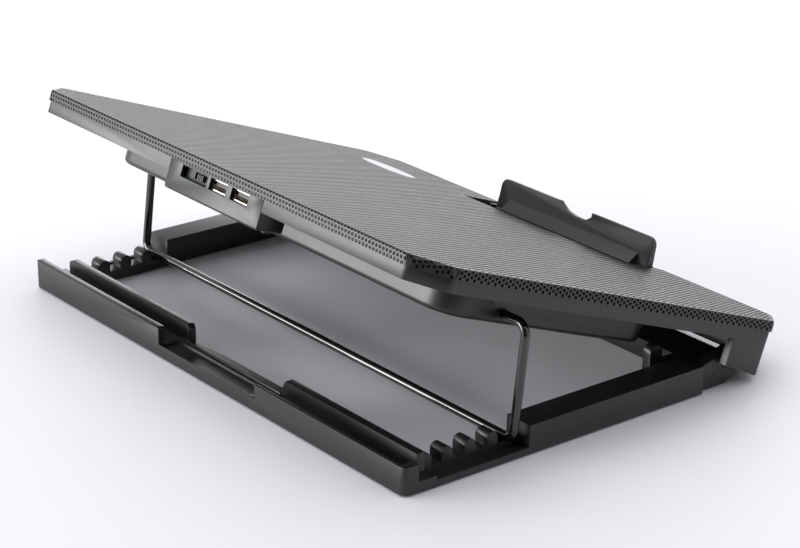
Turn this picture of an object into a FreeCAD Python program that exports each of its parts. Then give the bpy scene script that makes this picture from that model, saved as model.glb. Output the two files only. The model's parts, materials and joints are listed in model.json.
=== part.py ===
import FreeCAD, Part
import math
import os

# Laptop cooling pad: a perforated top panel that tilts on a low base frame.
# Frame: +X user's right, +Y rear (raised edge, ports), +Z up, origin under the middle.
# Panel pieces are drawn flat in (x, t, h): t runs back from the front edge and h is
# the height over the top sheet. in_panel() then tilts and lifts them into place.

os.makedirs("parts", exist_ok=True)
V = FreeCAD.Vector

# ---- Driving dimensions (mm, degrees) ----
PANEL_WIDTH = 370.0
PANEL_DEPTH = 280.0
CORNER_CUT = 18.0
TILT_DEG = 20.4
PANEL_FRONT_Y = -136.3
PANEL_FRONT_Z = 27.63

SHEET = 0.5
LIP_DROP = 6.3
SHELL_INSET = 1.2
SHELL_TOP = -0.5
SHELL_CORNER_R = 5.0
SHEET_CORNER_R = 6.0
SHELL_WALL = 2.4
PLATE = 2.5
SKIRT_DROP = 13.3
CHEEK_DROP = 32.0
CHEEK_FRONT_T = 19.7
CHEEK_REAR_T = 46.0
CHEEK_REAR_DROP = 29.0
FRONT_DROP = 26.0
CHEEK_INNER_X = 179.0

HINGE_T = 33.0
HINGE_DROP = 27.0
HINGE_PIN_R = 2.0
RUNNING_GAP = 0.05

BELLY_HALF_X = 154.5
BELLY_T0 = 77.0
BELLY_T1 = 234.0
BELLY_DROP = 31.0
BELLY_CORNER_R = 18.0
BELLY_WALL = 2.0

FAN_X = 75.0
FAN_T = 155.5
FAN_SIZE = 140.0
FAN_TOP = -12.0
FAN_THICK = 15.0
FAN_DUCT_R = 67.5
ROTOR_R = 65.5
HUB_R = 20.0
BLADES = 9

HOUSING_X0 = -48.5
HOUSING_X1 = 38.0
HOUSING_T0 = 261.0
HOUSING_DROP = 23.3
HOUSING_WALL = 1.8
WINDOW_TOP = -7.5
WINDOW_BOTTOM = -14.0
SWITCH_X = (2.2, 26.5)
USB_X = ((-15.6, -0.4), (-35.8, -20.2))
USB_DEPTH = 14.0
SWITCH_TRAVEL = 4.0

FLAP_X0 = -78.0
FLAP_X1 = 56.0
POCKET_X0 = -79.5
POCKET_X1 = 66.0
POCKET_T0 = 3.6
POCKET_T1 = 33.6
POCKET_DEPTH = 13.0
FLAP_AXIS_T = 11.0
FLAP_AXIS_H = -4.2
FLAP_PIN_R = 1.5

BASE_HALF_X = 178.3
BASE_REAR_Y = 136.0
BASE_BOTTOM = 1.0
RAIL_INNER_X = 160.0
RAIL_TOP = 17.0
RACK_FRONT_Y = 53.5
RACK_REAR_Y = 126.6
RACK_INNER_X = 158.0
RACK_OUTER_X = 167.5
NOTCH_Z = 6.8
TOOTH_Y = (69.5, 84.6, 99.7, 113.6)
TOOTH_R = 3.7
TOOTH_TOP = 14.5

PROP_R = 2.5
PROP_FOOT_Y = 60.5
PROP_FOOT_Z = 9.3
PROP_LEG_X = 173.0
PROP_TIP_X = 154.9
PIVOT_T = 193.0
PIVOT_DROP = 25.0

TILT = math.radians(TILT_DEG)


# ---- Helpers ----
def box(x0, x1, y0, y1, z0, z1):
    return Part.makeBox(x1 - x0, y1 - y0, z1 - z0, V(x0, y0, z0))


def rod_x(radius, x0, x1, y, z):
    """Round bar along X."""
    return Part.makeCylinder(radius, x1 - x0, V(x0, y, z), V(1, 0, 0))


def post(radius, x, y, z0, z1):
    """Round bar along Z."""
    return Part.makeCylinder(radius, z1 - z0, V(x, y, z0), V(0, 0, 1))


def prism_x(points, x0, x1):
    """Outline in (y, z), pushed along X."""
    corners = [V(x0, y, z) for y, z in points]
    face = Part.Face(Part.makePolygon(corners + corners[:1]))
    return face.extrude(V(x1 - x0, 0, 0))


def prism_y(points, y0, y1):
    """Outline in (x, z), pushed along Y."""
    corners = [V(x, y0, z) for x, z in points]
    face = Part.Face(Part.makePolygon(corners + corners[:1]))
    return face.extrude(V(0, y1 - y0, 0))


def prism_z(points, z0, z1):
    """Outline in (x, y), pushed along Z."""
    corners = [V(x, y, z0) for x, y in points]
    face = Part.Face(Part.makePolygon(corners + corners[:1]))
    return face.extrude(V(0, 0, z1 - z0))


def upright_edges(shape, test):
    """Edges that run along Z and whose middle passes the test(x, y)."""
    found = []
    for edge in shape.Edges:
        ends = edge.BoundBox
        upright = ends.ZLength > 0.1 and ends.XLength < 0.01 and ends.YLength < 0.01
        if upright and test(ends.Center.x, ends.Center.y):
            found.append(edge)
    return found


def rounded_box(x0, x1, y0, y1, z0, z1, radius):
    """Box with its four upright edges rounded."""
    block = box(x0, x1, y0, y1, z0, z1)
    return block.makeFillet(radius, upright_edges(block, lambda x, y: True))


def chamfered_plate(inset, h0, h1):
    """The panel's outline, its corners cut at 45 degrees, moved in by inset."""
    half = PANEL_WIDTH / 2 - inset
    front = inset
    rear = PANEL_DEPTH - inset
    cut = CORNER_CUT - inset * (2 - math.sqrt(2))
    points = [
        (-half, front + cut), (-half + cut, front), (half - cut, front), (half, front + cut),
        (half, rear - cut), (half - cut, rear), (-half + cut, rear), (-half, rear - cut),
    ]
    return prism_z(points, h0, h1)


def fused(shapes):
    whole = shapes[0]
    for shape in shapes[1:]:
        whole = whole.fuse(shape)
    return whole.removeSplitter()


def cut_all(shape, tools):
    for tool in tools:
        shape = shape.cut(tool)
    return shape


def mirror_x(shape):
    return shape.mirror(V(0, 0, 0), V(1, 0, 0))


def in_panel(shape):
    """Tilt a flat-drawn panel piece and lift it onto the base."""
    placed = shape.copy()
    placed.rotate(V(0, 0, 0), V(1, 0, 0), TILT_DEG)
    placed.translate(V(0, PANEL_FRONT_Y, PANEL_FRONT_Z))
    return placed


def panel_point(x, t, h):
    y = PANEL_FRONT_Y + t * math.cos(TILT) - h * math.sin(TILT)
    z = PANEL_FRONT_Z + t * math.sin(TILT) + h * math.cos(TILT)
    return V(x, y, z)


def export(name, *solids):
    """Write one node, of one or more separate solids."""
    checked = []
    for solid in solids:
        for piece in solid.Solids:
            assert piece.isValid() and piece.isClosed(), name
            checked.append(piece)
    node = checked[0] if len(checked) == 1 else Part.makeCompound(checked)
    node.exportStep("parts/" + name + ".step")
    bounds = node.BoundBox
    print(name, len(checked), "solids", round(sum(s.Volume for s in checked) / 1000, 1), "cm3",
          [round(v, 1) for v in (bounds.XMin, bounds.XMax, bounds.YMin, bounds.YMax, bounds.ZMin, bounds.ZMax)])


HINGE = panel_point(0, HINGE_T, -HINGE_DROP)
print("panel hinge axis y, z", round(HINGE.y, 2), round(HINGE.z, 2))


# ---- Base frame ----
FOOT_R = 6.0
FOOT_HEIGHT = 2.0
FOOT_SPOTS = [(-168.5, 121.0), (168.5, 121.0), (-169.0, -62.0), (169.0, -62.0)]
EAR_R = 7.0
EAR_X = (168.0, 175.3)
NOSE_INSET = 3.0
CHANNEL_FLOOR = 7.0
MIDDLE_X0 = -49.5
MIDDLE_X1 = 43.5
MIDDLE_TOP = 8.0
OUTER_RIB_TOP = 18.0
OUTER_WALL_TOP = 16.5
INNER_RIB_TOP = 17.5
REAR_RAIL_Y = 115.0
FRONT_RAIL_Y = (-97.0, -80.0)
LUG_Y = (-66.0, -57.0)
LUG_THICK = 6.0
LUG_INNER_X = 146.0
LUG_ROUND_Z = 18.5
FRONT_RAIL_TOP = 12.0
APRON_Y = -119.0
APRON_TOP = 4.0


def rack():
    """Four notches for the wire prop's foot, on the user's right."""
    pieces = [
        box(RACK_INNER_X, BASE_HALF_X, RACK_FRONT_Y - 1, RACK_REAR_Y, BASE_BOTTOM, 3.4),
        box(BASE_HALF_X - 2.4, BASE_HALF_X, RACK_FRONT_Y - 1, RACK_REAR_Y, BASE_BOTTOM, 4.6),
        box(RACK_INNER_X, RACK_OUTER_X, RACK_FRONT_Y - 1, REAR_RAIL_Y + 1, BASE_BOTTOM, NOTCH_Z),
    ]
    for y in TOOTH_Y:
        shoulder = TOOTH_TOP - TOOTH_R
        pieces.append(box(RACK_INNER_X, RACK_OUTER_X, y - TOOTH_R, y + TOOTH_R, NOTCH_Z - 1, shoulder))
        pieces.append(rod_x(TOOTH_R, RACK_INNER_X, RACK_OUTER_X, y, shoulder))
    return fused(pieces)


def side_rail():
    """Tall rail, nose and hinge ear, on the user's right."""
    rail = box(RAIL_INNER_X, BASE_HALF_X, -72, RACK_FRONT_Y, BASE_BOTTOM, RAIL_TOP)
    nose = prism_x([(-71, BASE_BOTTOM), (-71, 15.8), (-90, 9.5), (-100, 7.8), (-101.5, 5), (-92, BASE_BOTTOM)],
                   RAIL_INNER_X, BASE_HALF_X - NOSE_INSET)
    web = prism_x([(-74, 8), (-74, 15.5), (HINGE.y, HINGE.z + EAR_R), (HINGE.y - 2, 5), (-88, 4)],
                  EAR_X[0], EAR_X[1])
    ear = rod_x(EAR_R, EAR_X[0], EAR_X[1], HINGE.y, HINGE.z)
    bore = rod_x(HINGE_PIN_R + RUNNING_GAP, EAR_X[0] - 1, EAR_X[1] + 1, HINGE.y, HINGE.z)
    return fused([rail, nose, web, ear]).cut(bore)


def rear_rail():
    """Rear rail, with the upright ribs that hold a phone or a pen between them."""
    inner_rib_end = 3.0
    plate = box(-BASE_HALF_X, BASE_HALF_X, REAR_RAIL_Y, BASE_REAR_Y, BASE_BOTTOM, CHANNEL_FLOOR)
    right_rib = box(MIDDLE_X1, BASE_HALF_X - 1.3, 131.5, BASE_REAR_Y, BASE_BOTTOM, OUTER_RIB_TOP)
    left_wall = prism_x([(BASE_REAR_Y, BASE_BOTTOM), (BASE_REAR_Y, OUTER_WALL_TOP), (133.8, OUTER_WALL_TOP),
                         (129.5, CHANNEL_FLOOR), (129.5, BASE_BOTTOM)], -BASE_HALF_X, MIDDLE_X0)
    left_post = box(-BASE_HALF_X, -173, RACK_REAR_Y, BASE_REAR_Y, BASE_BOTTOM, OUTER_WALL_TOP)
    right_inner = box(37, 166, REAR_RAIL_Y, 119.5, BASE_BOTTOM, INNER_RIB_TOP)
    left_inner = prism_y([(-170, BASE_BOTTOM), (-170, INNER_RIB_TOP), (-58, INNER_RIB_TOP),
                          (-54, CHANNEL_FLOOR + 4), (-53, BASE_BOTTOM)], 116.5, 121.5)
    right_inner = round_rib_ends(right_inner, inner_rib_end)
    right_rib = round_rib_ends(right_rib, 1.5)
    middle = box(MIDDLE_X0 - 4, MIDDLE_X1, REAR_RAIL_Y, BASE_REAR_Y, BASE_BOTTOM, MIDDLE_TOP)
    ridge = box(MIDDLE_X0 - 3, 38, 120.0, 121.2, BASE_BOTTOM, MIDDLE_TOP + 1.0)
    tray = rounded_box(MIDDLE_X0 + 5, MIDDLE_X1 - 0.6, 123.5, 134.9, MIDDLE_TOP - 1.6, MIDDLE_TOP + 1, 3.0)
    rail = fused([plate, right_rib, left_wall, left_post, right_inner, left_inner, middle, ridge])
    return rail.cut(tray)


def round_rib_ends(rib, radius):
    """Round the two top ends of a rib that runs along X."""
    top = rib.BoundBox.ZMax
    edges = []
    for edge in rib.Edges:
        bounds = edge.BoundBox
        if bounds.YLength > 1 and bounds.XLength < 0.01 and abs(bounds.ZMin - top) < 0.01:
            edges.append(edge)
    return rib.makeFillet(radius, edges)


def front_rail():
    """Front rail and low apron, with a corner block and a round-ended lug at each end."""
    rail = box(-RAIL_INNER_X - 1, RAIL_INNER_X + 1, *FRONT_RAIL_Y, BASE_BOTTOM, FRONT_RAIL_TOP)
    apron = box(-RAIL_INNER_X - 1, RAIL_INNER_X + 1, APRON_Y, FRONT_RAIL_Y[0] + 1, BASE_BOTTOM, APRON_TOP)
    pieces = [rail, apron]
    lug_radius = (LUG_Y[1] - LUG_Y[0]) / 2
    for side in (-1, 1):
        x0, x1 = sorted((side * LUG_INNER_X, side * (LUG_INNER_X + LUG_THICK)))
        pieces.append(box(x0, x1, LUG_Y[0], LUG_Y[1], BASE_BOTTOM, LUG_ROUND_Z))
        pieces.append(rod_x(lug_radius, x0, x1, LUG_Y[0] + lug_radius, LUG_ROUND_Z))
        x0, x1 = sorted((side * LUG_INNER_X, side * (RAIL_INNER_X + 1)))
        pieces.append(box(x0, x1, FRONT_RAIL_Y[1] - 1, LUG_Y[1], BASE_BOTTOM, FRONT_RAIL_TOP))
    return fused(pieces)


def base_frame():
    right = fused([rack(), side_rail()])
    frame = fused([rear_rail(), right, mirror_x(right), front_rail()])
    hollow_depth = 3.0
    hollows = [
        box(RAIL_INNER_X + 2.4, BASE_HALF_X - 2.4, -52, 50, 0, RAIL_TOP - 2.5),
        box(-BASE_HALF_X + 2.4, -RAIL_INNER_X - 2.4, -52, 50, 0, RAIL_TOP - 2.5),
        box(-RAIL_INNER_X + 2, RAIL_INNER_X - 2, FRONT_RAIL_Y[0] + 2.4, FRONT_RAIL_Y[1] - 2.4, 0,
            FRONT_RAIL_TOP - 2.5),
        box(-150, 150, 121.8, 129, 0, BASE_BOTTOM + hollow_depth),
    ]
    for x, y in FOOT_SPOTS:
        hollows.append(post(FOOT_R + 0.1, x, y, 0, FOOT_HEIGHT))
    frame = cut_all(frame, hollows)
    ribs = []
    for x in (-120, -80, -40, 0, 40, 80, 120):
        ribs.append(box(x - 1, x + 1, FRONT_RAIL_Y[0] + 1, FRONT_RAIL_Y[1] - 1, BASE_BOTTOM + 1,
                        FRONT_RAIL_TOP - 2))
    for side in (-1, 1):
        for y in (-18, 16):
            x_mid = side * (RAIL_INNER_X + BASE_HALF_X) / 2
            ribs.append(box(x_mid - 7.5, x_mid + 7.5, y - 1, y + 1, BASE_BOTTOM + 1, RAIL_TOP - 2))
    frame = fused([frame] + ribs)
    corners = upright_edges(frame, lambda x, y: abs(x) > BASE_HALF_X - 0.2 and y > BASE_REAR_Y - 0.2)
    tall = [edge for edge in corners if edge.Length > 1.0]
    return frame.makeFillet(4.0, tall)


export("base_frame", base_frame())
for number, (x, y) in enumerate(FOOT_SPOTS, 1):
    export("rubber_foot_%d" % number, post(FOOT_R, x, y, 0, FOOT_HEIGHT))


# ---- Wire prop ----
def prop_wire():
    """One bent steel wire: a long foot bar, two legs, and two short ends that turn in."""
    pivot = panel_point(0, PIVOT_T, -PIVOT_DROP)
    foot = V(0, PROP_FOOT_Y, PROP_FOOT_Z)
    along = pivot - foot
    leg = along.Length
    along.normalize()

    def spot(x, up):
        return V(x, foot.y + along.y * up, foot.z + along.z * up)

    foot_bend = 5.5
    top_bend = 7.0
    diagonal = 1 - math.sqrt(0.5)
    half = [
        Part.LineSegment(spot(PROP_TIP_X, leg), spot(PROP_LEG_X - top_bend, leg)),
        Part.Arc(spot(PROP_LEG_X - top_bend, leg),
                 spot(PROP_LEG_X - top_bend * diagonal, leg - top_bend * diagonal),
                 spot(PROP_LEG_X, leg - top_bend)),
        Part.LineSegment(spot(PROP_LEG_X, leg - top_bend), spot(PROP_LEG_X, foot_bend)),
        Part.Arc(spot(PROP_LEG_X, foot_bend),
                 spot(PROP_LEG_X - foot_bend * diagonal, foot_bend * diagonal),
                 spot(PROP_LEG_X - foot_bend, 0)),
        Part.LineSegment(spot(PROP_LEG_X - foot_bend, 0), spot(0, 0)),
    ]
    path = Part.Wire([curve.toShape() for curve in half])
    start = spot(PROP_TIP_X, leg)
    ring = Part.Wire([Part.makeCircle(PROP_R, start, V(1, 0, 0))])
    right = path.makePipeShell([ring], True, False)
    return fused([right, mirror_x(right)])


export("prop_wire", prop_wire())


# ---- Panel shell ----
def below_skirt():
    """Everything under the shell's lower edge, seen from the side."""
    return prism_x([(-5, -FRONT_DROP + 2), (CHEEK_FRONT_T, -CHEEK_DROP), (CHEEK_REAR_T, -CHEEK_REAR_DROP),
                    (CHEEK_REAR_T, -SKIRT_DROP), (PANEL_DEPTH + 5, -SKIRT_DROP), (PANEL_DEPTH + 5, -50),
                    (-5, -50)], -200, 200)


def fan_openings(h0, h1):
    """Two rounded windows over the fans, in the plate under the sheet."""
    windows = []
    for side in (-1, 1):
        x0, x1 = sorted((side * 5.0, side * 147.0))
        windows.append(rounded_box(x0, x1, 84, 227, h0, h1, 12.0))
    return windows


def stop_tray():
    """Pocket that the stop folds into, its floor rising towards the rear."""
    wall = 2.0
    outer = box(POCKET_X0 - wall, POCKET_X1 + wall, SHELL_INSET + 0.4, POCKET_T1 + wall,
                -POCKET_DEPTH - wall, SHELL_TOP)
    space = prism_x([(POCKET_T0, 1), (POCKET_T0, -POCKET_DEPTH), (19, -POCKET_DEPTH), (POCKET_T1, -6.8),
                     (POCKET_T1, 1)], POCKET_X0, POCKET_X1)
    lug = box(FLAP_X1 + 1.0, FLAP_X1 + 3.6, POCKET_T0 - 1, 16, -POCKET_DEPTH - 1, -0.6)
    return outer, space, lug


def panel_shell():
    outer = chamfered_plate(SHELL_INSET, -40, SHELL_TOP)
    corners = upright_edges(outer, lambda x, y: True)
    outer = outer.makeFillet(SHELL_CORNER_R, corners)
    inner = chamfered_plate(SHELL_INSET + SHELL_WALL, -41, SHELL_TOP - PLATE)
    shell = outer.cut(inner)
    for side in (-1, 1):
        x0, x1 = sorted((side * CHEEK_INNER_X, side * (PANEL_WIDTH / 2 - SHELL_INSET - 1)))
        shell = shell.fuse(box(x0, x1, 24, CHEEK_REAR_T, -40, -3))
    shell = shell.cut(below_skirt())
    tray, space, lug = stop_tray()
    shell = shell.fuse(tray).cut(space).fuse(lug)
    shell = cut_all(shell, fan_openings(-6, 0))
    housing_gap = box(HOUSING_X0 - 0.2, HOUSING_X1 + 0.2, HOUSING_T0 - 0.2, PANEL_DEPTH, -40, -LIP_DROP)
    pins = [rod_x(FLAP_PIN_R, POCKET_X0 - 2.5, FLAP_X0 + 7, FLAP_AXIS_T, FLAP_AXIS_H),
            rod_x(FLAP_PIN_R, FLAP_X1 - 7, FLAP_X1 + 4, FLAP_AXIS_T, FLAP_AXIS_H)]
    for side in (-1, 1):
        x0, x1 = sorted((side * (CHEEK_INNER_X - 1), side * 181.8))
        pins.append(rod_x(HINGE_PIN_R, x0, x1, HINGE_T, -HINGE_DROP))
    shell = cut_all(shell, [housing_gap] + pins)
    bosses = []
    for x, t in BELLY_SCREW_SPOTS:
        bosses.append(post(3.2, x, t, -9.0, SHELL_TOP - 1))
    shell = fused([shell] + bosses)
    return cut_all(shell, [post(1.2, x, t, -10, -3) for x, t in BELLY_SCREW_SPOTS])


# The belly pan carries tabs with one screw each, up into the shell.
BELLY_SCREW_SPOTS = [(x, t) for t in (71.0, 240.0) for x in (-120.0, -70.0, 70.0, 120.0)]
TAB_TOP = -9.0
TAB_THICK = 2.0


def belly_pan():
    """Fan housing: a shallow tray with rounded corners, intake rings and screw tabs."""
    top = SHELL_TOP - PLATE
    outer = rounded_box(-BELLY_HALF_X, BELLY_HALF_X, BELLY_T0, BELLY_T1, -BELLY_DROP, top, BELLY_CORNER_R)
    floor_edges = [e for e in outer.Edges if abs(e.BoundBox.ZMax + BELLY_DROP) < 0.01]
    outer = outer.makeFillet(3.0, floor_edges)
    space = rounded_box(-BELLY_HALF_X + BELLY_WALL, BELLY_HALF_X - BELLY_WALL, BELLY_T0 + BELLY_WALL,
                        BELLY_T1 - BELLY_WALL, -BELLY_DROP + BELLY_WALL, top + 1, BELLY_CORNER_R - BELLY_WALL)
    pan = outer.cut(space)
    for side in (-1, 1):
        pan = intake_grille(pan, side * FAN_X)
    tabs = []
    for x, t in BELLY_SCREW_SPOTS:
        t0 = t - 5 if t < FAN_T else BELLY_T1 - 1
        t1 = BELLY_T0 + 1 if t < FAN_T else t + 5
        tabs.append(box(x - 5, x + 5, t0, t1, TAB_TOP - TAB_THICK, TAB_TOP))
    for side in (-1, 1):
        x0, x1 = sorted((side * (BELLY_HALF_X - 6), side * (BELLY_HALF_X - 1)))
        tabs.append(rod_x(5.5, x0, x1, PIVOT_T, -PIVOT_DROP))
    for x in (-FAN_X, FAN_X):
        for dx, dt in FAN_SCREW_OFFSETS:
            tabs.append(post(3.5, x + dx, FAN_T + dt, -BELLY_DROP + 1, FAN_TOP - FAN_THICK))
    pan = fused([pan] + tabs)
    holes = [post(1.6, x, t, TAB_TOP - 5, TAB_TOP + 1) for x, t in BELLY_SCREW_SPOTS]
    for side in (-1, 1):
        x0, x1 = sorted((side * (BELLY_HALF_X - 7), side * (BELLY_HALF_X + 1)))
        holes.append(rod_x(3.6, x0, x1, PIVOT_T, -PIVOT_DROP))
    for x in (-FAN_X, FAN_X):
        for dx, dt in FAN_SCREW_OFFSETS:
            holes.append(post(1.6, x + dx, FAN_T + dt, -BELLY_DROP - 1, FAN_TOP - FAN_THICK + 1))
            holes.append(post(3.0, x + dx, FAN_T + dt, -BELLY_DROP - 1, -BELLY_DROP + 1.2))
    return cut_all(pan, holes)


def intake_grille(pan, x):
    """Rings and spokes under one fan, left by ring-shaped cuts."""
    ring_gap = 5.0
    ring_bar = 2.2
    floor0 = -BELLY_DROP - 1
    floor1 = -BELLY_DROP + BELLY_WALL + 0.5
    spokes = []
    for turn in range(3):
        spoke = box(-FAN_DUCT_R, FAN_DUCT_R, -1.3, 1.3, floor0, floor1)
        spoke.rotate(V(0, 0, 0), V(0, 0, 1), turn * 60)
        spokes.append(spoke)
    cross = fused(spokes)
    radius = 18.0
    while radius + ring_gap < FAN_DUCT_R - 2:
        ring = post(radius + ring_gap, 0, 0, floor0, floor1).cut(post(radius, 0, 0, floor0, floor1))
        ring = ring.cut(cross)
        ring.translate(V(x, FAN_T, 0))
        pan = pan.cut(ring)
        radius += ring_gap + ring_bar
    return pan


FAN_SCREW_PITCH = 62.5
FAN_SCREW_OFFSETS = [(dx, dt) for dx in (-FAN_SCREW_PITCH, FAN_SCREW_PITCH)
                     for dt in (-FAN_SCREW_PITCH, FAN_SCREW_PITCH)]


# ---- Perforated top sheet ----
FOLD_R = 1.0
BADGE_X = 122.0
BADGE_T = 50.0
BADGE_LONG = 48.0
BADGE_SHORT = 18.0
BADGE_GAP = 0.1


def badge_oval(gap):
    """Oval through the sheet's thickness, grown by a gap."""
    rim = Part.Ellipse(V(BADGE_X, BADGE_T, -SHEET), BADGE_LONG / 2 + gap, BADGE_SHORT / 2 + gap)
    return Part.Face(Part.Wire([rim.toShape()])).extrude(V(0, 0, SHEET))


def top_sheet():
    """Thin steel sheet with a folded lip, drawn here without its small holes."""
    outer = chamfered_plate(0, -LIP_DROP, 0)
    outer = outer.makeFillet(SHEET_CORNER_R, upright_edges(outer, lambda x, y: True))
    rim = [e for e in outer.Edges if abs(e.BoundBox.ZMin) < 0.01 and e.BoundBox.ZLength < 0.01]
    outer = outer.makeFillet(FOLD_R, rim)
    inner = chamfered_plate(SHEET, -LIP_DROP - 1, -SHEET)
    inner = inner.makeFillet(SHEET_CORNER_R - SHEET, upright_edges(inner, lambda x, y: True))
    notch = box(POCKET_X0, POCKET_X1, -1, POCKET_T1, -LIP_DROP - 1, 1)
    return outer.cut(inner).cut(notch).cut(badge_oval(BADGE_GAP))


def badge():
    """Blank oval plate, let into the sheet and glued to the shell's plate."""
    return badge_oval(0.0)


export("panel_shell", in_panel(panel_shell()))
export("belly_pan", in_panel(belly_pan()))
export("top_sheet", in_panel(top_sheet()))
export("badge", in_panel(badge()))


# ---- Ports ----
BOARD_TOP = -13.9
BOARD_THICK = 1.6


def port_housing():
    """Box behind the rear skirt, its rear wall flush with it, with three windows."""
    rear = PANEL_DEPTH - SHELL_INSET
    outer = box(HOUSING_X0, HOUSING_X1, HOUSING_T0, rear, -HOUSING_DROP, -LIP_DROP - 0.1)
    edges = [e for e in outer.Edges if abs(e.BoundBox.ZMax + HOUSING_DROP) < 0.01]
    outer = outer.makeFillet(1.5, edges)
    space = box(HOUSING_X0 + HOUSING_WALL, HOUSING_X1 - HOUSING_WALL, HOUSING_T0 + HOUSING_WALL,
                rear - HOUSING_WALL, -HOUSING_DROP + HOUSING_WALL, 0)
    housing = outer.cut(space)
    for x0, x1 in USB_X + (SWITCH_X,):
        housing = housing.cut(box(x0, x1, rear - 5, rear + 5, WINDOW_BOTTOM, WINDOW_TOP))
    posts = [post(3.0, x, BOARD_POST_T, -HOUSING_DROP + 1, BOARD_TOP - BOARD_THICK) for x in BOARD_POST_X]
    housing = fused([housing] + posts)
    return cut_all(housing, [post(1.2, x, BOARD_POST_T, -HOUSING_DROP - 1, 0) for x in BOARD_POST_X])


BOARD_POST_X = (-42.5, 31.5)
BOARD_POST_T = 267.0
BOARD_T1 = PANEL_DEPTH - SHELL_INSET - HOUSING_WALL - 0.3
SOCKET_REAR_T = PANEL_DEPTH - SHELL_INSET - 2.0


def circuit_board():
    board = box(HOUSING_X0 + 2.4, HOUSING_X1 - 2.4, HOUSING_T0 + 2.2, BOARD_T1, BOARD_TOP - BOARD_THICK, BOARD_TOP)
    return cut_all(board, [post(1.3, x, BOARD_POST_T, -30, 0) for x in BOARD_POST_X])


def usb_socket(x0, x1):
    """Folded steel shell of a socket, open at the rear."""
    gap = 0.35
    wall = 0.4
    outer = box(x0 + gap, x1 - gap, SOCKET_REAR_T - USB_DEPTH, SOCKET_REAR_T, BOARD_TOP, WINDOW_TOP - gap)
    space = box(x0 + gap + wall, x1 - gap - wall, SOCKET_REAR_T - USB_DEPTH + 2, SOCKET_REAR_T + 1,
                BOARD_TOP + 0.7, WINDOW_TOP - gap - wall)
    return outer.cut(space)


def usb_tongue(x0, x1):
    """Plastic tongue that carries the contacts."""
    middle = (x0 + x1) / 2
    top = WINDOW_TOP - 1.4
    tongue = box(middle - 5.6, middle + 5.6, SOCKET_REAR_T - USB_DEPTH + 2, SOCKET_REAR_T - 1.0, top - 1.9, top)
    return tongue


def switch_body():
    x0, x1 = SWITCH_X
    outer = box(x0 + 0.3, x1 - 0.3, SOCKET_REAR_T - 9, SOCKET_REAR_T - 1.6, BOARD_TOP, WINDOW_TOP - 0.2)
    slot = box(KNOB_X0 - 0.3, KNOB_X1 + SWITCH_TRAVEL + 0.3, SOCKET_REAR_T - 4, SOCKET_REAR_T,
               KNOB_Z0 - 0.3, KNOB_Z1 + 0.3)
    return outer.cut(slot)


KNOB_X0 = 8.5
KNOB_X1 = 14.0
KNOB_Z0 = -12.4
KNOB_Z1 = -9.2


def switch_knob():
    """Slide knob with three grip grooves."""
    knob = box(KNOB_X0, KNOB_X1, SOCKET_REAR_T - 3.8, SOCKET_REAR_T + 0.2, KNOB_Z0, KNOB_Z1)
    for groove in range(3):
        x = KNOB_X0 + 1.2 + groove * 1.5
        knob = knob.cut(box(x - 0.3, x + 0.3, SOCKET_REAR_T - 0.4, SOCKET_REAR_T + 1, KNOB_Z0 - 1, KNOB_Z1 + 1))
    return knob


export("port_housing", in_panel(port_housing()))
export("circuit_board", in_panel(circuit_board()))
for number, (x0, x1) in enumerate(USB_X, 1):
    export("usb_socket_%d" % number, in_panel(usb_socket(x0, x1)))
    export("usb_tongue_%d" % number, in_panel(usb_tongue(x0, x1)))
export("switch_body", in_panel(switch_body()))
export("switch_knob", in_panel(switch_knob()))


# ---- Fans ----
HUB_BASE_R = 21.0
FAN_POST_R = 3.0


def fan_frame(x):
    """Square frame with a round duct, three struts and the hub's base with its post."""
    half = FAN_SIZE / 2
    bottom = FAN_TOP - FAN_THICK
    frame = rounded_box(-half, half, -half, half, bottom, FAN_TOP, 6.0)
    frame = frame.cut(post(FAN_DUCT_R, 0, 0, bottom - 1, FAN_TOP + 1))
    pieces = [frame, post(HUB_BASE_R, 0, 0, bottom, bottom + 2.2), post(FAN_POST_R, 0, 0, bottom, FAN_TOP - 3)]
    for turn in range(3):
        strut = box(HUB_BASE_R - 2, FAN_DUCT_R + 1, -2, 2, bottom, bottom + 2.2)
        strut.rotate(V(0, 0, 0), V(0, 0, 1), 90 + turn * 120)
        pieces.append(strut)
    frame = fused(pieces)
    holes = [post(1.5, dx, dt, bottom - 1, bottom + 10) for dx, dt in FAN_SCREW_OFFSETS]
    frame = cut_all(frame, holes)
    frame.translate(V(x, FAN_T, 0))
    return frame


def fan_rotor(x):
    """Hub cup with nine pitched blades, turning on the frame's post."""
    bottom = FAN_TOP - FAN_THICK + 3.2
    top = FAN_TOP - 1.0
    hub = post(HUB_R, 0, 0, bottom, top)
    rim = [e for e in hub.Edges if abs(e.BoundBox.ZMin - top) < 0.01]
    hub = hub.makeFillet(1.5, rim)
    hub = hub.cut(post(HUB_R - 2, 0, 0, bottom - 1, top - 4))
    hub = fused([hub, post(6.0, 0, 0, bottom, top - 1)])
    middle = (bottom + top) / 2
    pieces = [hub]
    for turn in range(BLADES):
        blade = fan_blade(middle)
        blade.rotate(V(0, 0, 0), V(0, 0, 1), turn * 360 / BLADES)
        pieces.append(blade)
    rotor = fused(pieces)
    rotor = rotor.cut(post(FAN_POST_R + RUNNING_GAP, 0, 0, bottom - 1, FAN_TOP - 3 + 0.4))
    rotor.translate(V(x, FAN_T, 0))
    return rotor


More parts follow.
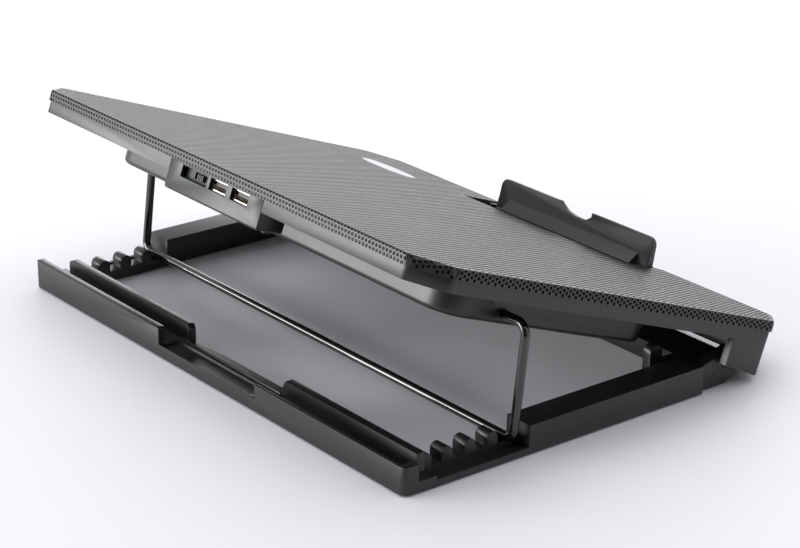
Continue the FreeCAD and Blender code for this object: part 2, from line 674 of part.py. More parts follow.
def fan_blade(middle):
    """Blade lofted through four sections, swept and twisted towards its tip."""
    sections = []
    for radius, chord, pitch, sweep in ((HUB_R - 1, 14, 38, 0), (34, 20, 30, 6), (50, 25, 24, 14),
                                        (ROTOR_R, 29, 20, 24)):
        across = chord / 2 * math.cos(math.radians(pitch))
        rise = chord / 2 * math.sin(math.radians(pitch))
        thick = 0.75
        corners = [V(radius, -across, middle - rise - thick), V(radius, across, middle + rise - thick),
                   V(radius, across, middle + rise + thick), V(radius, -across, middle - rise + thick)]
        wire = Part.makePolygon(corners + corners[:1])
        wire.rotate(V(0, 0, 0), V(0, 0, 1), sweep)
        sections.append(wire)
    return Part.makeLoft(sections, True, True)


for side, x in (("left", -FAN_X), ("right", FAN_X)):
    export("fan_frame_" + side, in_panel(fan_frame(x)))
    export("fan_rotor_" + side, in_panel(fan_rotor(x)))


# ---- Front stop ----
def stop_flap():
    """Upright stop with a foot wedge, a thumb notch and two pin barrels."""
    top = 17.2
    plate = prism_x([(7.0, -4.0), (10.5, top), (14.3, top), (13.3, 5.8), (13.0, -4.0)], FLAP_X0, FLAP_X1)
    ends = []
    for edge in plate.Edges:
        bounds = edge.BoundBox
        across = bounds.YLength > 3 and bounds.XLength < 0.01 and abs(bounds.ZMin - top) < 0.01
        if across:
            ends.append(edge)
    plate = plate.makeFillet(5.0, ends)
    wedge = prism_x([(10.0, -4.0), (13.0, 6.0), (13.3, 5.8), (19.0, -1.5), (17.0, -4.0)], FLAP_X0 + 9, FLAP_X1 - 10)
    barrels = [rod_x(3.6, FLAP_X0, FLAP_X0 + 9.5, FLAP_AXIS_T, FLAP_AXIS_H),
               rod_x(3.6, FLAP_X1 - 10.5, FLAP_X1, FLAP_AXIS_T, FLAP_AXIS_H)]
    flap = fused([plate, wedge] + barrels)
    thumb = prism_y([(4.5, 18), (3.5, 16.6), (-4, 12.8), (-12, 11.7), (-21, 11.7), (-25.2, 14.5), (-25.2, 18)],
                    0, 30)
    flap = flap.cut(thumb)
    bore = FLAP_PIN_R + RUNNING_GAP
    flap = flap.cut(rod_x(bore, FLAP_X0 - 1, FLAP_X0 + 7, FLAP_AXIS_T, FLAP_AXIS_H))
    return flap.cut(rod_x(bore, FLAP_X1 - 7, FLAP_X1 + 1, FLAP_AXIS_T, FLAP_AXIS_H))


export("stop_flap", in_panel(stop_flap()))
export("stop_pin_left", in_panel(rod_x(FLAP_PIN_R, POCKET_X0 - 2.0, FLAP_X0 + 6.6, FLAP_AXIS_T, FLAP_AXIS_H)))
export("stop_pin_right", in_panel(rod_x(FLAP_PIN_R, FLAP_X1 - 6.6, FLAP_X1 + 3.6, FLAP_AXIS_T, FLAP_AXIS_H)))


# ---- Pins, bushes and screws ----
def screw(head_r, shank_r, length):
    """Pan-head screw pointing up, its head below h = 0, with a cross recess."""
    head = post(head_r, 0, 0, -1.6, 0)
    rim = [e for e in head.Edges if abs(e.BoundBox.ZMax + 1.6) < 0.01]
    head = head.makeFillet(0.5, rim)
    whole = fused([head, post(shank_r, 0, 0, 0, length)])
    slot = 0.45
    arm = head_r * 0.6
    whole = whole.cut(box(-arm, arm, -slot, slot, -2, -0.8))
    return whole.cut(box(-slot, slot, -arm, arm, -2, -0.8))


def screws(spots, h, head_r, shank_r, length):
    made = []
    for x, t in spots:
        one = screw(head_r, shank_r, length)
        one.translate(V(x, t, h))
        made.append(in_panel(one))
    return made


for side, sign in (("left", -1), ("right", 1)):
    ear0, ear1 = sorted((sign * (EAR_X[0] + 0.5), sign * 181.8))
    export("hinge_pin_" + side, rod_x(HINGE_PIN_R, ear0, ear1, HINGE.y, HINGE.z))
    bush0, bush1 = sorted((sign * (BELLY_HALF_X - 5.5), sign * (BELLY_HALF_X - 0.1)))
    bush = rod_x(3.6, bush0, bush1, PIVOT_T, -PIVOT_DROP).cut(
        rod_x(PROP_R + 0.1, bush0 - 1, bush1 + 1, PIVOT_T, -PIVOT_DROP))
    export("prop_bush_" + side, in_panel(bush))

export("belly_screws", *screws(BELLY_SCREW_SPOTS, TAB_TOP - TAB_THICK, 3.0, 1.2, 8.0))
FAN_SCREW_SPOTS = [(x + dx, FAN_T + dt) for x in (-FAN_X, FAN_X) for dx, dt in FAN_SCREW_OFFSETS]
export("fan_screws", *screws(FAN_SCREW_SPOTS, -BELLY_DROP + 1.2, 2.6, 1.5, 9.0))
BOARD_SCREW_SPOTS = [(x, BOARD_POST_T) for x in BOARD_POST_X]
export("board_screws", *screws(BOARD_SCREW_SPOTS, -HOUSING_DROP, 2.4, 1.2, 8.0))
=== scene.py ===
# %% [markdown]
# # Laptop cooling pad
# A cooling pad has three finishes that meet at its rear edge: a powder-coated steel sheet full
# of punched holes, satin ABS mouldings, and a bent wire in gloss enamel. The CAD model already
# holds the structure, so this lesson softens its moulded edges, punches the sheet for real,
# and gives each piece the material it is made of.

# %% Load the imported model
import json
import math

import bmesh
import bpy
from mathutils import Matrix, Vector


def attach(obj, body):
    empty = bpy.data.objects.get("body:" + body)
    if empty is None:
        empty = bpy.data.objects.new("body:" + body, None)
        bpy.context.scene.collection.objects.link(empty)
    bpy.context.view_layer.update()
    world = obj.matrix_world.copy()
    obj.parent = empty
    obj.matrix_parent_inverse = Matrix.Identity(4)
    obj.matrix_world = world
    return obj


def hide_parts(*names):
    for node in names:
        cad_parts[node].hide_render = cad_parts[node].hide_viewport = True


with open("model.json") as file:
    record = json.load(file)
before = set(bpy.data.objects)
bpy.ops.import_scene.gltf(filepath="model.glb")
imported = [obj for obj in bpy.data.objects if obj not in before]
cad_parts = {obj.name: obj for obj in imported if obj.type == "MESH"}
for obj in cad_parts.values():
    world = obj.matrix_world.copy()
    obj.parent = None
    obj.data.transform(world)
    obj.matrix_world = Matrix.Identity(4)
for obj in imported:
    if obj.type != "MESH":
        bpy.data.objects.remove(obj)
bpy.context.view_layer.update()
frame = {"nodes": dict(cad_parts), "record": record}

MM = 0.001
NODES = frame["nodes"]

# %% [markdown]
# ## The tilted panel
# Everything on the panel was drawn flat and then tilted. The hinge of the folding stop and the
# spin axis of a fan are in the record, so the panel's own directions can be read from there:
# the fan's axis is the panel's normal.

# %% Panel directions
SHEET_WIDTH = 370 * MM
SHEET_DEPTH = 280 * MM
CORNER_CUT = 18 * MM
JOINTS = {joint["name"]: joint for joint in frame["record"]["behaviour"]["joints"]}
NORMAL = Vector(JOINTS["fan_spin_left"]["axis"]).normalized()
BACK = Vector((0, NORMAL.z, -NORMAL.y))
TILT = math.atan2(BACK.z, BACK.y)
LAPTOP_FACE = [m for m in frame["record"]["mounts"] if m["name"] == "laptop_face"][0]
PANEL_ORIGIN = Vector(LAPTOP_FACE["pos_m"]) - BACK * SHEET_DEPTH / 2
PANEL = Matrix.Translation(PANEL_ORIGIN) @ Matrix.Rotation(TILT, 4, "X")
print("tilt", round(math.degrees(TILT), 2), "front edge at", [round(v, 4) for v in PANEL_ORIGIN])

# %% [markdown]
# ## Colours and shader nodes
# Colours are written as the sRGB hex values that a paint maker would give, and turned to linear
# light once. One small function adds any shader node with its settings and links.


# %% Colour and node helpers
def srgb(hex_code):
    """Linear RGBA from an sRGB hex value."""
    values = [int(hex_code[i:i + 2], 16) / 255 for i in (1, 3, 5)]
    linear = [v / 12.92 if v <= 0.04045 else ((v + 0.055) / 1.055) ** 2.4 for v in values]
    return (*linear, 1.0)


def add(tree, kind, settings=None, links=None):
    """Add a node. Settings are attributes or input values, links are input: (node, output)."""
    made = tree.nodes.new(kind)
    for name, value in (settings or {}).items():
        if isinstance(name, int) or name in made.inputs:
            made.inputs[name].default_value = value
        else:
            setattr(made, name, value)
    for name, (source, output) in (links or {}).items():
        tree.links.new(source.outputs[output], made.inputs[name])
    return made


def new_material(name):
    """Empty node material: returns it, its tree, its shader and its object coordinates."""
    material = bpy.data.materials.new(name)
    material.use_nodes = True
    tree = material.node_tree
    shader = tree.nodes["Principled BSDF"]
    coords = add(tree, "ShaderNodeTexCoord")
    return material, tree, shader, coords


def colour_ramp(tree, source, output, low, high, low_at=0.3, high_at=0.7):
    """Blend of two colours over a range of a texture's value."""
    ramp = add(tree, "ShaderNodeValToRGB", links={"Fac": (source, output)})
    ramp.color_ramp.elements[0].position = low_at
    ramp.color_ramp.elements[0].color = low
    ramp.color_ramp.elements[1].position = high_at
    ramp.color_ramp.elements[1].color = high
    return ramp


# %% [markdown]
# ## Moulded ABS
# The base, the shell and the stop are injection-moulded black ABS. The mould is spark-eroded,
# which leaves a fine grain of about 0.5 mm that breaks up highlights: satin, never glossy. A
# slower drift in colour and roughness stands for handling marks and flow in the mould.


# %% ABS materials
def moulded_abs(name, dark, light, roughness, grain_mm=0.5, grain_height_mm=0.02):
    material, tree, shader, coords = new_material(name)
    drift = add(tree, "ShaderNodeTexNoise", {"Scale": 1 / (60 * MM), "Detail": 3.0},
                {"Vector": (coords, "Object")})
    grain = add(tree, "ShaderNodeTexNoise", {"Scale": 1 / (grain_mm * MM), "Detail": 2.0},
                {"Vector": (coords, "Object")})
    ramp = colour_ramp(tree, drift, "Fac", srgb(dark), srgb(light))
    tree.links.new(ramp.outputs["Color"], shader.inputs["Base Color"])
    rough = add(tree, "ShaderNodeMapRange", {"To Min": roughness - 0.05, "To Max": roughness + 0.06},
                {"Value": (drift, "Fac")})
    tree.links.new(rough.outputs["Result"], shader.inputs["Roughness"])
    bump = add(tree, "ShaderNodeBump", {"Strength": 0.5, "Distance": grain_height_mm * MM},
               {"Height": (grain, "Fac")})
    tree.links.new(bump.outputs["Normal"], shader.inputs["Normal"])
    shader.inputs["IOR"].default_value = 1.54
    return material


BASE_ABS = moulded_abs("black_abs_spark_grain", "#131315", "#19191B", 0.38)
SHELL_ABS = moulded_abs("black_abs_satin", "#141416", "#1B1B1E", 0.38)
STOP_ABS = moulded_abs("warm_black_abs", "#201C1B", "#282322", 0.42)
FAN_ABS = moulded_abs("fan_black_pbt", "#161618", "#1D1D1F", 0.34, grain_mm=0.8, grain_height_mm=0.01)
RUBBER = moulded_abs("foot_rubber", "#18181A", "#232325", 0.82, grain_mm=0.7, grain_height_mm=0.04)
SWITCH_ABS = moulded_abs("switch_black_nylon", "#0F0F11", "#171819", 0.50, grain_mm=0.4)
print("ABS materials:", [m.name for m in (BASE_ABS, SHELL_ABS, STOP_ABS, FAN_ABS, RUBBER, SWITCH_ABS)])

# %% [markdown]
# ## Powder coat, enamel and bare metals
# Powder coat is baked on, so it keeps a faint orange peel about 1.5 mm across. It looks nearly
# white at a grazing angle because a dielectric reflects half the light there: its IOR does that
# by itself. The wire is dipped in gloss enamel. The socket shells are nickel-plated, the badge is
# satin anodised aluminium, and the screws are black zinc.


# %% Metal materials
def coated_metal(name, dark, light, roughness, peel_mm, peel_height_mm, coat=0.0):
    material, tree, shader, coords = new_material(name)
    peel = add(tree, "ShaderNodeTexNoise", {"Scale": 1 / (peel_mm * MM), "Detail": 1.0},
               {"Vector": (coords, "Object")})
    dust = add(tree, "ShaderNodeTexNoise", {"Scale": 1 / (45 * MM), "Detail": 4.0},
               {"Vector": (coords, "Object")})
    ramp = colour_ramp(tree, dust, "Fac", srgb(dark), srgb(light))
    tree.links.new(ramp.outputs["Color"], shader.inputs["Base Color"])
    rough = add(tree, "ShaderNodeMapRange", {"To Min": roughness - 0.03, "To Max": roughness + 0.04},
                {"Value": (dust, "Fac")})
    tree.links.new(rough.outputs["Result"], shader.inputs["Roughness"])
    bump = add(tree, "ShaderNodeBump", {"Strength": 0.4, "Distance": peel_height_mm * MM},
               {"Height": (peel, "Fac")})
    tree.links.new(bump.outputs["Normal"], shader.inputs["Normal"])
    shader.inputs["IOR"].default_value = 1.52
    shader.inputs["Coat Weight"].default_value = coat
    return material


def bare_metal(name, dark, light, roughness, brush_mm=0.25, stretch=40.0):
    """Metal with fine drawn or brushed lines along X."""
    material, tree, shader, coords = new_material(name)
    lines = add(tree, "ShaderNodeMapping", {"Scale": (1 / stretch, 1.0, 1.0)},
                {"Vector": (coords, "Object")})
    brush = add(tree, "ShaderNodeTexNoise", {"Scale": 1 / (brush_mm * MM), "Detail": 2.0},
                {"Vector": (lines, "Vector")})
    ramp = colour_ramp(tree, brush, "Fac", srgb(dark), srgb(light))
    tree.links.new(ramp.outputs["Color"], shader.inputs["Base Color"])
    rough = add(tree, "ShaderNodeMapRange", {"To Min": roughness - 0.06, "To Max": roughness + 0.08},
                {"Value": (brush, "Fac")})
    tree.links.new(rough.outputs["Result"], shader.inputs["Roughness"])
    shader.inputs["Metallic"].default_value = 1.0
    return material


SHEET_COAT = coated_metal("black_powder_coat", "#1F1F1E", "#262625", 0.40, 1.5, 0.02)
WIRE_ENAMEL = coated_metal("gloss_black_enamel", "#0B0B0C", "#101012", 0.14, 3.0, 0.01, coat=0.6)
NICKEL = bare_metal("nickel_plate", "#B4AFA6", "#C8C3BA", 0.24)
BADGE_METAL = bare_metal("satin_anodised_badge", "#8C8C90", "#A2A2A6", 0.38, brush_mm=0.3)
PIN_STEEL = bare_metal("drawn_steel", "#8E8E92", "#A4A4A8", 0.30)
SCREW_ZINC = bare_metal("black_zinc", "#2E2E32", "#3C3C40", 0.38)
METALS = (SHEET_COAT, WIRE_ENAMEL, NICKEL, BADGE_METAL, PIN_STEEL, SCREW_ZINC)
print("metals:", [m.name for m in METALS])


# %% [markdown]
# ## Board and contact plastics
# The circuit board is glass-epoxy under green solder mask, and the tongues in the sockets are
# black glass-filled plastic that stands heat.


# %% Board materials
def solder_mask():
    material, tree, shader, coords = new_material("green_solder_mask")
    look = {"Scale": 1 / (6 * MM), "Mortar Size": 0.06, "Color1": srgb("#0F4A2A"),
            "Color2": srgb("#115030"), "Mortar": srgb("#1B6B3E")}
    tracks = add(tree, "ShaderNodeTexBrick", look, {"Vector": (coords, "Object")})
    tree.links.new(tracks.outputs["Color"], shader.inputs["Base Color"])
    shader.inputs["Roughness"].default_value = 0.28
    return material


BOARD_MASK = solder_mask()
TONGUE = moulded_abs("black_contact_plastic", "#1A1714", "#241F1A", 0.45, grain_mm=0.3)
print("board materials:", BOARD_MASK.name, TONGUE.name)


# %% [markdown]
# ## Soft moulded edges
# No moulded or folded edge is razor sharp: a tool leaves 0.3 to 0.6 mm of radius, and that thin
# round is what catches the light along every rib of the base. A CAD mesh is loose triangles, so
# a copy is welded, its flat faces are merged back into single polygons, and a Bevel modifier
# rounds what is left. The hidden CAD node stays behind for the collision model.


# %% Rounded copies of CAD nodes
WELD = 0.002 * MM
FLAT_ANGLE = math.radians(1.0)
ROUNDED_ANGLE = math.radians(35)


def give(piece, material):
    piece.data.materials.clear()
    piece.data.materials.append(material)


def baked(piece):
    """Replace the piece's mesh with the result of its modifiers."""
    depsgraph = bpy.context.evaluated_depsgraph_get()
    mesh = bpy.data.meshes.new_from_object(piece.evaluated_get(depsgraph))
    piece.modifiers.clear()
    piece.data = mesh


def triangles(piece):
    piece.data.calc_loop_triangles()
    return len(piece.data.loop_triangles)


def softened(node_name, piece_name, body, material, radius_mm):
    source = NODES[node_name].data
    mesh = bpy.data.meshes.new(piece_name)
    work = bmesh.new()
    work.from_mesh(source)
    bmesh.ops.remove_doubles(work, verts=work.verts, dist=WELD)
    bmesh.ops.dissolve_limit(work, angle_limit=FLAT_ANGLE, verts=work.verts, edges=work.edges)
    for face in work.faces:
        face.smooth = True
    work.to_mesh(mesh)
    work.free()
    piece = bpy.data.objects.new(piece_name, mesh)
    bpy.context.collection.objects.link(piece)
    bevel = piece.modifiers.new("edge_radius", "BEVEL")
    bevel.width = radius_mm * MM
    bevel.segments = 2
    bevel.limit_method = "ANGLE"
    bevel.angle_limit = ROUNDED_ANGLE
    bevel.harden_normals = True
    baked(piece)
    give(piece, material)
    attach(piece, body)
    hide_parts(node_name)
    print(piece_name, triangles(piece), "triangles")


softened("base_frame", "base_moulding", "base", BASE_ABS, 0.5)
softened("panel_shell", "shell_moulding", "panel", SHELL_ABS, 0.35)
softened("belly_pan", "fan_housing", "panel", SHELL_ABS, 0.3)
softened("port_housing", "port_box", "panel", SHELL_ABS, 0.25)
softened("stop_flap", "stop_moulding", "stop", STOP_ABS, 0.6)


# %% [markdown]
# ## The punched sheet
# The steel is punched flat with round holes on a triangular pattern, 2.78 mm apart, and only then
# are its edges folded down. Geometry Nodes does the same work. The hole centres are two
# rectangular grids, one set in the gaps of the other. Where a whole hexagonal cell fits inside the
# outline, a ready-made cell with a hole in it is set, which keeps the mesh regular. The margin left
# between those cells and the outline is filled as one flat face, with every hole that still fits
# cut out of it. Holes cut for real let the fans show through and let light fall through.

# %% Sheet sizes
PITCH = 2.78 * MM
ROW = PITCH * math.sqrt(3) / 2
HOLE_RADIUS = 0.99 * MM
HOLE_SIDES = 8
STEEL = 0.5 * MM
BEND_RADIUS = 1.0 * MM
CORNER_RADIUS = 6.0 * MM
EDGE_MARGIN = 0.03 * MM
HAIR = 0.003 * MM
LIP = 6.3 * MM
DEVELOPED = BEND_RADIUS * math.pi / 2 + LIP - BEND_RADIUS
HALF = SHEET_WIDTH / 2
NOTCH_X0 = -79.5 * MM
NOTCH_X1 = 66.0 * MM
NOTCH_T = 33.6 * MM
BADGE_X = 122 * MM
BADGE_T = 50 * MM
BADGE_LONG = 48.2 * MM
BADGE_SHORT = 18.2 * MM


# %% Punching tree
def calc(tree, operation, first, second=None):
    """Math on two values, each a number or a (node, output) pair."""
    made = add(tree, "ShaderNodeMath", {"operation": operation})
    for index, value in enumerate((first, second)):
        if isinstance(value, tuple):
            tree.links.new(value[0].outputs[value[1]], made.inputs[index])
        elif value is not None:
            made.inputs[index].default_value = value
    return (made, "Value")


def join(tree, *sources):
    made = add(tree, "GeometryNodeJoinGeometry")
    for node, output in sources:
        tree.links.new(node.outputs[output], made.inputs[0])
    return made


INPUTS = (("Pitch", "Float"), ("Hole radius", "Float"), ("Hole sides", "Int"), ("Edge margin", "Float"),
          ("Steel thickness", "Float"), ("Columns", "Int"), ("Rows", "Int"), ("Middle", "Vector"),
          ("Turn", "Vector"), ("From x", "Float"), ("To x", "Float"), ("Margin only", "Bool"),
          ("Finish", "Material"))


def punching_tree(name, fold=None):
    """Outline mesh in, punched steel out. A fold, if given, bends the flat blank."""
    tree = bpy.data.node_groups.new(name, "GeometryNodeTree")
    tree.interface.new_socket("Geometry", in_out="INPUT", socket_type="NodeSocketGeometry")
    for label, kind in INPUTS:
        tree.interface.new_socket(label, in_out="INPUT", socket_type="NodeSocket" + kind)
    tree.interface.new_socket("Geometry", in_out="OUTPUT", socket_type="NodeSocketGeometry")
    given = add(tree, "NodeGroupInput")
    result = add(tree, "NodeGroupOutput")

    outline = add(tree, "GeometryNodeMeshToCurve", links={"Mesh": (given, "Geometry")})
    blank = add(tree, "GeometryNodeFillCurve", links={"Curve": (outline, "Curve")})

    # Hole centres: a grid of pitch by twice the row spacing, and the same grid half a step on.
    pitch = (given, "Pitch")
    double_row = calc(tree, "MULTIPLY", pitch, math.sqrt(3))
    width = calc(tree, "MULTIPLY", (given, "Columns"), pitch)
    depth = calc(tree, "MULTIPLY", (given, "Rows"), double_row)
    grid = add(tree, "GeometryNodeMeshGrid", links={
        "Size X": width, "Size Y": depth, "Vertices X": calc(tree, "ADD", (given, "Columns"), 1),
        "Vertices Y": calc(tree, "ADD", (given, "Rows"), 1)})
    half_step = add(tree, "ShaderNodeCombineXYZ", links={
        "X": calc(tree, "MULTIPLY", pitch, 0.5), "Y": calc(tree, "MULTIPLY", double_row, 0.5)})
    between = add(tree, "GeometryNodeTransform", links={
        "Geometry": (grid, "Mesh"), "Translation": (half_step, "Vector")})
    lattice = join(tree, (grid, "Mesh"), (between, "Geometry"))
    centres = add(tree, "GeometryNodeTransform", links={
        "Geometry": (lattice, "Geometry"), "Translation": (given, "Middle"),
        "Rotation": (given, "Turn")})

    to_blank = add(tree, "GeometryNodeProximity", {"target_element": "FACES"}, {0: (blank, "Mesh")})
    to_edge = add(tree, "GeometryNodeProximity", {"target_element": "EDGES"}, {0: (given, "Geometry")})
    outside = calc(tree, "GREATER_THAN", (to_blank, "Distance"), HAIR)
    reach = calc(tree, "ADD", (given, "Hole radius"), (given, "Edge margin"))
    no_room = calc(tree, "MAXIMUM", outside, calc(tree, "LESS_THAN", (to_edge, "Distance"), reach))
    circle = add(tree, "GeometryNodeCurvePrimitiveCircle", links={
        "Resolution": (given, "Hole sides"), "Radius": (given, "Hole radius")})
    lines = [(outline, "Curve")]

    if not fold:
        # A hexagonal cell stays if all of it lies inside the blank.
        cell_reach = calc(tree, "MULTIPLY", pitch, 1.02 / math.sqrt(3))
        near_edge = calc(tree, "LESS_THAN", (to_edge, "Distance"), cell_reach)
        no_cell = calc(tree, "MAXIMUM", outside, near_edge)
        cell_spots = add(tree, "GeometryNodeDeleteGeometry", {"domain": "POINT"}, {
            "Geometry": (centres, "Geometry"), "Selection": no_cell})
        six = add(tree, "GeometryNodeCurvePrimitiveCircle", {"Resolution": 6}, {
            "Radius": calc(tree, "MULTIPLY", pitch, 1 / math.sqrt(3))})
        hexagon = add(tree, "GeometryNodeTransform", {"Rotation": (0, 0, math.radians(30))}, {
            "Geometry": (six, "Curve")})
        plain = add(tree, "GeometryNodeFillCurve", {"mode": "NGONS"}, {"Curve": (hexagon, "Geometry")})
        plain_cells = add(tree, "GeometryNodeInstanceOnPoints", links={
            "Points": (cell_spots, "Geometry"), "Instance": (plain, "Mesh")})
        plain_real = add(tree, "GeometryNodeRealizeInstances", links={
            "Geometry": (plain_cells, "Instances")})
        cells = add(tree, "GeometryNodeMergeByDistance", {"Distance": HAIR}, {
            "Geometry": (plain_real, "Geometry")})
        to_cells = add(tree, "GeometryNodeProximity", {"target_element": "FACES"}, {
            0: (cells, "Geometry")})
        on_cell = calc(tree, "LESS_THAN", (to_cells, "Distance"), (given, "Edge margin"))
        no_room = calc(tree, "MAXIMUM", no_room, on_cell)
        neighbours = add(tree, "GeometryNodeInputMeshEdgeNeighbors")
        single = calc(tree, "COMPARE", (neighbours, "Face Count"), 1.0)
        cell_rim = add(tree, "GeometryNodeMeshToCurve", links={
            "Mesh": (cells, "Geometry"), "Selection": single})
        lines.append((cell_rim, "Curve"))

        # One cell with its hole, set on every cell centre of this bay.
        cell_lines = join(tree, (hexagon, "Geometry"), (circle, "Curve"))
        cell = add(tree, "GeometryNodeFillCurve", links={"Curve": (cell_lines, "Geometry")})
        spot = add(tree, "GeometryNodeInputPosition")
        spot_parts = add(tree, "ShaderNodeSeparateXYZ", links={0: (spot, "Position")})
        too_low = calc(tree, "LESS_THAN", (spot_parts, "X"), (given, "From x"))
        too_high = calc(tree, "GREATER_THAN", (spot_parts, "X"), (given, "To x"))
        bay = add(tree, "GeometryNodeDeleteGeometry", {"domain": "POINT"}, {
            "Geometry": (cell_spots, "Geometry"), "Selection": calc(tree, "MAXIMUM", too_low, too_high)})
        laid = add(tree, "GeometryNodeInstanceOnPoints", links={
            "Points": (bay, "Geometry"), "Instance": (cell, "Mesh")})
        field = add(tree, "GeometryNodeRealizeInstances", links={"Geometry": (laid, "Instances")})

    # Holes outside the cells are cut one by one.
    extra = add(tree, "GeometryNodeDeleteGeometry", {"domain": "POINT"}, {
        "Geometry": (centres, "Geometry"), "Selection": no_room})
    extra_holes = add(tree, "GeometryNodeInstanceOnPoints", links={
        "Points": (extra, "Geometry"), "Instance": (circle, "Curve")})
    cut_outs = add(tree, "GeometryNodeRealizeInstances", links={"Geometry": (extra_holes, "Instances")})
    all_lines = join(tree, (cut_outs, "Geometry"), *lines)
    flat = add(tree, "GeometryNodeFillCurve", links={"Curve": (all_lines, "Geometry")})
    if fold:
        shaped = fold(tree, (flat, "Mesh"))
    else:
        chosen = add(tree, "GeometryNodeSwitch", {"input_type": "GEOMETRY"}, {
            "Switch": (given, "Margin only"), "False": (field, "Geometry"), "True": (flat, "Mesh")})
        welded = add(tree, "GeometryNodeMergeByDistance", {"Distance": HAIR}, {
            "Geometry": (chosen, "Output")})
        shaped = (welded, "Geometry")

    # The flat pattern is the steel's upper side: push a copy down and flip what must face down.
    inward = calc(tree, "MULTIPLY", (given, "Steel thickness"), -1.0)
    walls = add(tree, "GeometryNodeExtrudeMesh", {"Individual": False}, {
        "Mesh": shaped, "Offset Scale": inward})
    turned_out = add(tree, "GeometryNodeFlipFaces", links={"Mesh": (walls, "Mesh")})
    solid = join(tree, (turned_out, "Mesh"), shaped)
    closed = add(tree, "GeometryNodeMergeByDistance", {"Distance": HAIR}, {
        "Geometry": (solid, "Geometry")})
    real = add(tree, "GeometryNodeRealizeInstances", links={"Geometry": (closed, "Geometry")})
    finish = add(tree, "GeometryNodeSetMaterial", links={
        "Geometry": (real, "Geometry"), "Material": (given, "Finish")})
    tree.links.new(finish.outputs["Geometry"], result.inputs["Geometry"])
    return tree


PUNCH = punching_tree("punch_flat")
print("punching tree:", len(PUNCH.nodes), "nodes")


# %% Outline and punch helpers
def outline_object(name, loops):
    """Closed loops of edges in the XY plane."""
    corners = []
    edges = []
    for loop in loops:
        first = len(corners)
        corners += [(x, y, 0) for x, y in loop]
        edges += [(first + i, first + (i + 1) % len(loop)) for i in range(len(loop))]
    mesh = bpy.data.meshes.new(name)
    mesh.from_pydata(corners, edges, [])
    piece = bpy.data.objects.new(name, mesh)
    bpy.context.collection.objects.link(piece)
    return piece


def set_input(modifier, name, value):
    sockets = modifier.node_group.interface.items_tree
    socket = next(s for s in sockets if s.in_out == "INPUT" and s.name == name)
    modifier[socket.identifier] = value


def punched(name, tree, loops, extra):
    """Run a punching tree on closed outlines and keep the result as a plain mesh."""
    piece = outline_object(name, loops)
    modifier = piece.modifiers.new("punch", "NODES")
    modifier.node_group = tree
    values = {"Pitch": PITCH, "Hole radius": HOLE_RADIUS, "Hole sides": HOLE_SIDES,
              "Edge margin": EDGE_MARGIN, "Steel thickness": STEEL, "From x": -1.0, "To x": 1.0,
              "Margin only": False, "Finish": SHEET_COAT}
    values.update(extra)
    for key, value in values.items():
        set_input(modifier, key, value)
    baked(piece)
    print(name, triangles(piece), "triangles")
    return piece


# %% [markdown]
# ## The flat middle
# The outline is an octagon with rounded corners, with a notch at the front for the folding stop
# and an oval window for the badge. It is drawn one bend radius inside the sheet's edge, where the
# fold begins. The cells are split into four bays, so that no mesh grows too heavy, and the
# margin around them is a piece of its own.


# %% Sheet outline
def arc(middle, radius, start_deg, turn_deg, steps):
    points = []
    for step in range(steps + 1):
        angle = math.radians(start_deg + turn_deg * step / steps)
        points.append((middle[0] + radius * math.cos(angle), middle[1] + radius * math.sin(angle)))
    return points


def rounded_octagon(inset, steps):
    """Corner-cut outline with rounded corners, anticlockwise from the left of the front edge."""
    half = HALF - inset
    front = inset
    rear = SHEET_DEPTH - inset
    cut = CORNER_CUT - inset * (2 - math.sqrt(2))
    corners = [(-half + cut, front), (half - cut, front), (half, front + cut), (half, rear - cut),
               (half - cut, rear), (-half + cut, rear), (-half, rear - cut), (-half, front + cut)]
    radius = CORNER_RADIUS - inset
    points = []
    for index, (x, y) in enumerate(corners):
        into_deg = 45.0 * (index - 1)
        bisector = math.radians(into_deg + 112.5)
        reach = radius / math.cos(math.radians(22.5))
        middle = (x + reach * math.cos(bisector), y + reach * math.sin(bisector))
        points += arc(middle, radius, into_deg - 90, 45.0, steps)
    return points


FOLD_LINE = rounded_octagon(BEND_RADIUS, 5)
FRONT_T = BEND_RADIUS
STOP_NOTCH = [(NOTCH_X0, FRONT_T), (NOTCH_X0, NOTCH_T), (NOTCH_X1, NOTCH_T), (NOTCH_X1, FRONT_T)]
SHEET_OUTLINE = FOLD_LINE[5:6] + STOP_NOTCH + FOLD_LINE[6:] + FOLD_LINE[:5]
BADGE_WINDOW = [(BADGE_X + BADGE_LONG / 2 * math.cos(math.radians(a)),
                 BADGE_T + BADGE_SHORT / 2 * math.sin(math.radians(a))) for a in range(0, 360, 6)]
print("outline points:", len(SHEET_OUTLINE))

# %% Punch the flat middle
flat_grid = {"Columns": 2 * math.ceil(HALF / PITCH), "Rows": 2 * math.ceil(SHEET_DEPTH / 4 / ROW),
             "Middle": (0, SHEET_DEPTH / 2, 0)}
BAY = (round(HALF / 2 / PITCH) + 0.25) * PITCH
loops = [SHEET_OUTLINE, BADGE_WINDOW]
sheet_pieces = [punched("sheet_margin", PUNCH, loops, {**flat_grid, "Margin only": True})]
bay_edges = (-1.0, -BAY, PITCH / 4, BAY, 1.0)
for number in range(4):
    span = {"From x": bay_edges[number], "To x": bay_edges[number + 1]}
    sheet_pieces.append(punched("sheet_bay_%d" % (number + 1), PUNCH, loops, {**flat_grid, **span}))
for piece in sheet_pieces:
    piece.data.transform(PANEL)

# %% [markdown]
# ## The folded edge
# The edge is a strip, punched flat and then wrapped round the outline, as the press brake does it.
# A point of the strip knows how far it lies along the fold line and how far out from it. The first
# number finds its place on the outline; the second runs round a quarter turn of 1 mm and then
# straight down. The hole pattern runs on from the flat middle, so its rows lie along the front and
# rear edges, across the sides, and at 45 degrees over the cut corners: one strip for each.


